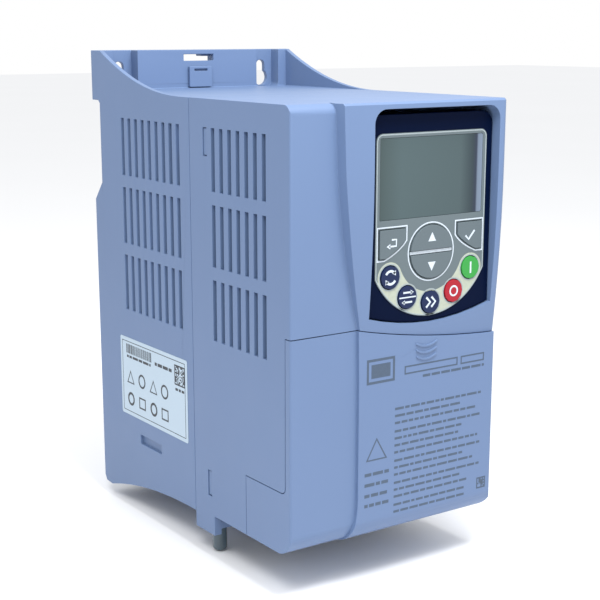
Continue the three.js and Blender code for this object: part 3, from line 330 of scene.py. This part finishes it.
def smooth_by_angle(degrees):
    """Node group that shades smooth everywhere except across edges sharper than an angle."""
    tree = bpy.data.node_groups.new("smooth_by_angle", "GeometryNodeTree")
    tree.interface.new_socket("Geometry", in_out="INPUT", socket_type="NodeSocketGeometry")
    tree.interface.new_socket("Geometry", in_out="OUTPUT", socket_type="NodeSocketGeometry")
    start = tree.nodes.new("NodeGroupInput")
    end = tree.nodes.new("NodeGroupOutput")
    angle = tree.nodes.new("GeometryNodeInputMeshEdgeAngle")
    gentle = tree.nodes.new("FunctionNodeCompare")
    gentle.data_type = "FLOAT"
    gentle.operation = "LESS_EQUAL"
    gentle.inputs["B"].default_value = math.radians(degrees)
    edges = tree.nodes.new("GeometryNodeSetShadeSmooth")
    edges.domain = "EDGE"
    faces = tree.nodes.new("GeometryNodeSetShadeSmooth")
    faces.domain = "FACE"
    tree.links.new(angle.outputs["Unsigned Angle"], gentle.inputs["A"])
    tree.links.new(start.outputs["Geometry"], edges.inputs["Geometry"])
    tree.links.new(gentle.outputs["Result"], edges.inputs["Shade Smooth"])
    tree.links.new(edges.outputs["Geometry"], faces.inputs["Geometry"])
    tree.links.new(faces.outputs["Geometry"], end.inputs["Geometry"])
    return tree


SMOOTH = smooth_by_angle(SMOOTH_ANGLE)


def soften(node, width):
    """Rounds a CAD node's sharp edges by a width in millimetres, and smooths its curved faces."""
    weld = node.modifiers.new("weld", "WELD")
    weld.merge_threshold = WELD_DISTANCE * MM
    bevel = node.modifiers.new("edges", "BEVEL")
    bevel.width = width * MM
    bevel.segments = 2
    bevel.limit_method = "ANGLE"
    bevel.angle_limit = math.radians(BEVEL_ANGLE)
    bevel.use_clamp_overlap = False
    smooth = node.modifiers.new("smooth", "NODES")
    smooth.node_group = SMOOTH
    normals = node.modifiers.new("normals", "WEIGHTED_NORMAL")
    normals.keep_sharp = True


def finish_cad_nodes():
    for row in frame["record"]["subparts"]:
        node = nodes[row["node"]]
        slot = row["material_slot"]
        node.data.materials.clear()
        node.data.materials.append(MATERIALS[slot])
        soften(node, EDGE_WIDTH.get(row["node"], SMALL_EDGE))


# ------------------------------------------------------------------ printed shapes (2D outlines in mm)


def arc(x, z, radius, start, end, steps=24):
    """Points on an arc, angles in degrees."""
    return [(x + radius * math.cos(math.radians(start + (end - start) * i / steps)),
             z + radius * math.sin(math.radians(start + (end - start) * i / steps)))
            for i in range(steps + 1)]


def circle(x, z, radius, steps=48):
    return arc(x, z, radius, 0, 360, steps)[:-1]


def rectangle(x0, x1, z0, z1):
    return [(x0, z0), (x1, z0), (x1, z1), (x0, z1)]


def ring(x, z, outer, inner):
    return [circle(x, z, outer), circle(x, z, inner)]


def frame_of(outline, width):
    """An outline and the same outline moved inwards by a width, for a printed border."""
    return [outline, inset(outline, width)]


def inset(outline, width):
    """The outline moved inwards; its points run anticlockwise."""
    moved = []
    count = len(outline)
    for i in range(count):
        before = Vector(outline[i]) - Vector(outline[i - 1])
        after = Vector(outline[(i + 1) % count]) - Vector(outline[i])
        if before.length < 1e-6 or after.length < 1e-6:
            continue
        normals = [Vector((-d.y, d.x)).normalized() for d in (before, after)]
        middle = normals[0] + normals[1]
        scale = width / max(0.3, middle.length_squared / 2)
        moved.append(tuple(Vector(outline[i]) + middle * scale))
    return moved


def stroke(points, width):
    """A polyline drawn with a pen of a width."""
    left, right = [], []
    for i, point in enumerate(points):
        ahead = Vector(points[min(i + 1, len(points) - 1)]) - Vector(points[max(i - 1, 0)])
        side = Vector((-ahead.y, ahead.x)).normalized() * width / 2
        left.append(tuple(Vector(point) + side))
        right.append(tuple(Vector(point) - side))
    return left + right[::-1]


def front_place(depth):
    """Places a print on a face that looks forward, a depth in mm in front of the back plane."""
    return lambda u, v, rise: Vector((u, -(depth + rise), v)) * MM


def left_place(x):
    """Places a print on the left side: u is the depth, and the print rises towards -X."""
    return lambda u, v, rise: Vector((x - rise, -u, v)) * MM


def print_piece(name, shapes, place, ink, body, height=PRINT_HEIGHT):
    """A thin printed piece. Each shape is a list of loops: an outline, then any holes in it."""
    mesh = bpy.data.meshes.new(name)
    bm = bmesh.new()
    for loops in shapes:
        flat = [point for loop in loops for point in loop]
        front = [bm.verts.new(place(u, v, height)) for u, v in flat]
        back = [bm.verts.new(place(u, v, 0)) for u, v in flat]
        rims = [[Vector((u, v, 0)) for u, v in loop] for loop in loops]
        for a, b, c in tessellate_polygon(rims):
            bm.faces.new((front[a], front[b], front[c]))
            bm.faces.new((back[c], back[b], back[a]))
        first = 0
        for loop in loops:
            for i in range(len(loop)):
                a, b = first + i, first + (i + 1) % len(loop)
                bm.faces.new((front[a], back[a], back[b], front[b]))
            first += len(loop)
    bmesh.ops.recalc_face_normals(bm, faces=bm.faces)
    bm.to_mesh(mesh)
    bm.free()
    piece = bpy.data.objects.new(name, mesh)
    bpy.context.scene.collection.objects.link(piece)
    mesh.materials.append(INK[ink])
    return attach(piece, body)


# ------------------------------------------------------------------ keypad


def front_of(node):
    """Depth in mm of a node's foremost face."""
    return -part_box(node)[0].y / MM


def middle_of(*names):
    """Centre X and Z in mm of one or more nodes' boxes together."""
    lows = [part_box(name)[0] for name in names]
    highs = [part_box(name)[1] for name in names]
    x = (min(v.x for v in lows) + max(v.x for v in highs)) / 2
    z = (min(v.z for v in lows) + max(v.z for v in highs)) / 2
    return x / MM, z / MM


def membrane_outline():
    low, high = [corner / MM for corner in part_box("keypad_membrane")]
    centre = (low.x + high.x) / 2
    half = (high.x - low.x) / 2
    radius = half + MEMBRANE_ARC_EXTRA
    arc_centre = low.z + radius
    turn = math.degrees(math.acos(half / radius))
    corner = MEMBRANE_CORNER
    return [*arc(centre, arc_centre, radius, turn - 180, -turn, 60),
            *arc(high.x - corner, high.z - corner, corner, 0, 90, 8),
            *arc(low.x + corner, high.z - corner, corner, 90, 180, 8)]


def crescent():
    """Pale band behind the five round keys, with a round lobe at each end."""
    low, high = [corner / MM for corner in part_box("keypad_membrane")]
    centre = (low.x + high.x) / 2
    outer_z = low.z + (high.x - low.x) / 2 + MEMBRANE_ARC_EXTRA
    dial_z = middle_of("up_key", "down_key")[1]
    left = middle_of("direction_key")
    right = middle_of("start_key")
    lobe = BAND_LOBE
    outer_radius = math.dist(right, (centre, outer_z)) + lobe
    inner_z = dial_z + BAND_DIAL_RISE
    inner_radius = math.dist(right, (centre, inner_z)) - lobe
    outward = math.degrees(math.atan2(right[1] - outer_z, right[0] - centre))
    inward = math.degrees(math.atan2(right[1] - inner_z, right[0] - centre))
    loop = [*arc(centre, outer_z, outer_radius, -180 - outward, outward, 48),
            *arc(*right, lobe, outward, inward + 180, 20),
            *arc(centre, inner_z, inner_radius, inward, -180 - inward, 48),
            *arc(*left, lobe, -inward, 180 - outward, 20)]
    holes = [circle(*middle_of(key), ROUND_KEY_HOLE + LINE) for key in ROUND_KEYS]
    return [loop, *holes]


def corner_key_outline(node):
    """A corner key's printed border: square outside, swept away beside the round pad."""
    low, high = [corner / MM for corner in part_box(node)]
    side = -1 if node == "back_key" else 1
    outer, inner = (low.x, high.x) if side < 0 else (high.x, low.x)
    start = Vector((inner, high.z - 5))
    bend = Vector((inner + side * 3, low.z + 3))
    end = Vector((outer - side * 3, low.z))
    curve = []
    for i in range(CORNER_KEY_STEPS + 1):
        t = i / CORNER_KEY_STEPS
        curve.append(tuple((1 - t) ** 2 * start + 2 * t * (1 - t) * bend + t * t * end))
    loop = [(outer, high.z), (inner, high.z), *curve, (outer, low.z)]
    return loop if side > 0 else loop[::-1]


def arrow_head(tip, direction, size):
    ahead = Vector(direction).normalized() * size
    side = Vector((-ahead.y, ahead.x)) * 0.62
    base = Vector(tip) - ahead
    return [tuple(Vector(tip)), tuple(base + side), tuple(base - side)]


def direction_symbol(x, z):
    """Two curved arrows chasing each other round."""
    radius = 2.5
    shapes = []
    for turn in (0, 180):
        band = stroke(arc(x, z, radius, turn + 35, turn + 150, 14), 0.95)
        at = math.radians(turn + 30)
        tip = (x + radius * math.cos(at - 0.25), z + radius * math.sin(at - 0.25))
        shapes += [[band], [arrow_head(tip, (math.sin(at), -math.cos(at)), 1.7)]]
    return shapes


def swap_symbol(x, z):
    """A dividing line with an arrow each way, for local and remote."""
    shapes = [[rectangle(x - 4.1, x + 4.1, z - 0.25, z + 0.25)]]
    for side in (-1, 1):
        level = z + side * 1.9
        shapes.append([rectangle(x - 2.2, x + 2.2, level - 0.35, level + 0.35)])
        shapes.append([arrow_head((x + side * 2.9, level), (side, 0), 1.5)])
    return shapes


def chevrons(x, z):
    """Two chevrons, for a short forward step."""
    return [[stroke([(x + dx - 1, z + 2), (x + dx + 1, z), (x + dx - 1, z - 2)], 0.9)]
            for dx in (-1.3, 1.3)]


def back_symbol(x, z):
    path = [(x - 1.8, z - 0.9), (x + 1.6, z - 0.9), (x + 1.6, z + 1.6), (x - 0.6, z + 1.6)]
    shaft = stroke(path, 0.7)
    return [[shaft], [arrow_head((x - 3.0, z - 0.9), (-1, 0), 1.7)]]


def enter_symbol(x, z):
    return [[stroke([(x - 2.2, z + 0.1), (x - 0.6, z - 1.5), (x + 2.4, z + 1.9)], 0.8)]]


def keypad_prints():
    film = front_place(front_of("keypad_membrane"))
    outline = membrane_outline()
    border = frame_of(inset(outline, MEMBRANE_BORDER_INSET), MEMBRANE_BORDER)
    print_piece("membrane_border_print", [border], film, "outline", "keypad")
    print_piece("key_band_print", [crescent()], film, "cream", "keypad", BAND_HEIGHT)
    rings = [ring(*middle_of(key), ROUND_KEY_HOLE + LINE, ROUND_KEY_HOLE) for key in ROUND_KEYS]
    print_piece("round_key_rings_print", rings, film, "outline", "keypad")
    x, z = middle_of("up_key", "down_key")
    dial_hole = (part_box("up_key")[1].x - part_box("up_key")[0].x) / MM / 2 + 0.1
    bar = rectangle(x - dial_hole + 0.7, x + dial_hole - 0.7, z - 0.58, z + 0.58)
    dial = [ring(x, z, dial_hole + LINE, dial_hole), [bar]]
    print_piece("dial_print", dial, film, "white", "keypad")
    frames = [frame_of(inset(corner_key_outline(key), -LINE - 0.1), LINE)
              for key in ("back_key", "enter_key")]
    print_piece("corner_keys_print", frames, film, "white", "keypad")


def key_symbols():
    half, base = SYMBOL_TRIANGLE, SYMBOL_BASE
    up_x, up_z = middle_of("up_key")
    down_x, down_z = middle_of("down_key")
    up = [(up_x - half, up_z - base), (up_x + half, up_z - base), (up_x, up_z + half)]
    down = [(down_x - half, down_z + base), (down_x, down_z - half), (down_x + half, down_z + base)]
    symbols = {
        "up_key": [[up]],
        "down_key": [[down]],
        "direction_key": direction_symbol(*middle_of("direction_key")),
        "local_remote_key": swap_symbol(*middle_of("local_remote_key")),
        "jog_key": chevrons(*middle_of("jog_key")),
        "back_key": back_symbol(*middle_of("back_key")),
        "enter_key": enter_symbol(*middle_of("enter_key")),
    }
    x, z = middle_of("stop_key")
    symbols["stop_key"] = [ring(x, z, 2.2, 1.5)]
    x, z = middle_of("start_key")
    symbols["start_key"] = [[rectangle(x - 0.4, x + 0.4, z - 2.3, z + 2.3)]]
    for key, shapes in symbols.items():
        print_piece(key + "_symbol", shapes, front_place(front_of(key)), "white", key)


# ------------------------------------------------------------------ terminal cover print


def word_bars(chance, x0, x1, z, height):
    """A line of short bars with word-like gaps, in place of lettering."""
    bars = []
    x = x0
    while x < x1 - 1:
        length = min(chance.uniform(1.6, 5.2), x1 - x)
        bars.append([rectangle(x, x + length, z - height / 2, z + height / 2)])
        x += length + 0.7
    return bars


def square_code(chance, x0, z0, size, cells):
    """A square of random cells inside a solid edge, in place of a two-dimensional code."""
    step = size / cells
    edges = (0, cells - 1)
    return [[rectangle(x0 + i * step, x0 + (i + 0.96) * step, z0 + j * step, z0 + (j + 0.96) * step)]
            for i in range(cells) for j in range(cells)
            if chance.random() < 0.5 or i in edges or j in edges]


def cover_print():
    chance = random.Random(5)
    high = [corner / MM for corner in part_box("terminal_cover")][1]
    right = high.x
    top = high.z

    def block(left_gap, right_gap, bottom_gap, top_gap):
        return rectangle(right - left_gap, right - right_gap, top - bottom_gap, top - top_gap)

    face = front_place(front_of("terminal_cover") - COVER_PRINT_SINK)
    badge = block(*COVER_BADGE)
    shapes = [frame_of(badge, 1.0), [inset(badge, 2.2)]]
    shapes += [frame_of(block(*gaps), 0.6) for gaps in COVER_NAME_FRAMES]
    start, end, drop = COVER_SUBTITLE
    shapes += word_bars(chance, right - start, right - end, top - drop, 1.0)
    shapes.append(frame_of([(right - across, top - down) for across, down in COVER_TRIANGLE], 0.55))
    start, end = COVER_SIDE_WORDS
    for drop in COVER_SIDE_DROPS:
        shapes += word_bars(chance, right - start, right - end, top - drop, 1.3)
    left = right - COVER_TEXT_LEFT
    z = top - COVER_TEXT_TOP
    for lines in COVER_GROUPS:
        for line in range(lines):
            width = chance.uniform(*COVER_TEXT_WIDTHS) if line else COVER_TEXT_WIDTH
            if z < top - COVER_CODE_TOP:
                width = min(width, COVER_LINE_BESIDE_CODE)
            shapes += word_bars(chance, left, left + width, z, 0.95)
            z -= COVER_LINE_PITCH
        z -= COVER_GROUP_GAP
    start, drop, size, cells = COVER_CODE
    shapes += square_code(chance, right - start, top - drop, size, cells)
    print_piece("cover_print", shapes, face, "grey", "terminal_cover", PANEL_PRINT_HEIGHT)


# ------------------------------------------------------------------ rating label print


def label_print():
    chance = random.Random(11)
    low, high = [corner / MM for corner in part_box("rating_label")]
    back, front = -high.y, -low.y
    top, bottom = high.z, low.z
    place = left_place(low.x)
    margin = LABEL_MARGIN
    edge = rectangle(back + margin, front - margin, bottom + margin, top - margin)
    shapes = [frame_of(edge, 0.3)]
    x = back + LABEL_BAR_START
    while x < back + LABEL_BAR_END:
        width = chance.choice(LABEL_BARS)
        shapes.append([rectangle(x, x + width, top - 7.2, top - 3)])
        x += width + chance.choice(LABEL_BAR_GAPS)
    shapes += word_bars(chance, back + 6, back + 28, top - 8.6, 1.1)
    shapes += word_bars(chance, back + 31.8, back + 46.6, top - 7, 1.4)
    start, drop, size, cells = LABEL_CODE
    shapes += square_code(chance, front - start, top - drop, size, cells)
    shapes += word_bars(chance, front - 10, front - 2.6, top - 14.2, 1.1)
    upper, lower = [top - drop for drop in LABEL_MARK_ROWS]
    for index, across in enumerate(LABEL_MARKS):
        u = back + across
        if index % 2:
            shapes.append(ring(u, upper, 3.2, 2.3))
            shapes.append(frame_of(rectangle(u - 3, u + 3, lower - 2.6, lower + 2.6), 0.7))
        else:
            corners = [(u - 3.4, upper - 3), (u + 3.4, upper - 3), (u, upper + 3)]
            shapes.append(frame_of(corners, 0.5))
            shapes.append(ring(u, lower, 3.1, 2.0))
    print_piece("label_print", shapes, place, "black", "drive", PANEL_PRINT_HEIGHT)


# ------------------------------------------------------------------ stage


def floor_and_light():
    material = Shader("studio_floor", (243, 244, 246), 0.9, Specular_IOR_Level=0.0)
    material.vary_colour(material.noise(3, 2), 0.004)
    level = cad_box[0].z - FLOOR_GAP * MM
    bpy.ops.mesh.primitive_plane_add(size=FLOOR_SIZE, location=(0, 0, level))
    floor = bpy.context.object
    floor.name = "studio_floor"
    floor.data.materials.append(material.material)

    world = bpy.data.worlds.new("studio_world")
    bpy.context.scene.world = world
    world.use_nodes = True
    backdrop = world.node_tree.nodes["Background"]
    backdrop.inputs["Color"].default_value = (1, 1, 1, 1)
    backdrop.inputs["Strength"].default_value = 1.0

    for name, place, target, size, power in LAMPS:
        lamp = bpy.data.lights.new(name + "_light", "AREA")
        lamp.size = size
        lamp.energy = power
        thing = bpy.data.objects.new(name + "_light", lamp)
        thing.location = place
        aim = Vector(target) - Vector(place)
        thing.rotation_euler = aim.to_track_quat("-Z", "Y").to_euler()
        thing.visible_camera = False
        bpy.context.scene.collection.objects.link(thing)


def camera():
    data = bpy.data.cameras.new("camera")
    data.lens = CAMERA_LENS
    data.sensor_width = CAMERA_SENSOR
    data.shift_y = CAMERA_SHIFT
    data.clip_start = 0.01
    thing = bpy.data.objects.new("camera", data)
    thing.location = Vector(CAMERA_PLACE) * MM
    thing.rotation_euler = (math.radians(90 - CAMERA_DIP), 0, math.radians(-CAMERA_TURN))
    bpy.context.scene.collection.objects.link(thing)
    bpy.context.scene.camera = thing


bpy.context.scene.view_settings.view_transform = "Standard"
camera()
floor_and_light()
finish_cad_nodes()
keypad_prints()
key_symbols()
cover_print()
label_print()
